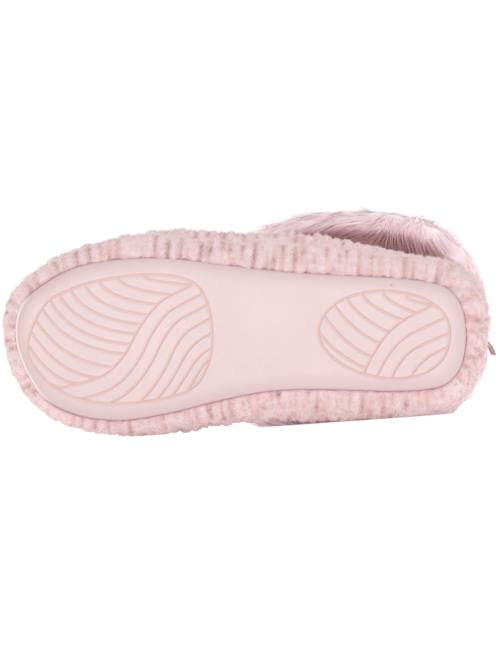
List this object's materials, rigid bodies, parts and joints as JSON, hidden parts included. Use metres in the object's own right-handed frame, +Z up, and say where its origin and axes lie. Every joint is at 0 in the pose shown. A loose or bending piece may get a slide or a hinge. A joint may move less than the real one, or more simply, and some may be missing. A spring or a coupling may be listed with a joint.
{
  "type": "slipper boot",
  "caption": "Soft plush ankle-high slipper boot for the left foot, with a long-pile fur cuff and a moulded wave-tread sole, lying empty on its side.",
  "frame": {"origin": "centre of the bounding box in plan, on the floor that the boot lies on", "axes": "+Z up from the floor, the sole faces -Y, the toe points to -X and the heel to +X, so +X is along the foot"},
  "size_m": [0.2818, 0.154, 0.1279],
  "materials": {
    "sole_rubber": "smooth, soft, half matt moulded rubber, pale pink",
    "plush": "short fuzzy plush with raised ribs, pale rose",
    "fur": "long soft pile, pale pink with darker roots",
    "footbed_fleece": "low fleece on foam",
    "ribbon": "woven ribbon"
  },
  "bodies": {
    "root": {"outsole": "sole_rubber", "insole": "footbed_fleece", "upper": "plush", "fur_cuff": "fur", "heel_tab": "ribbon"}
  },
  "joints": []
}
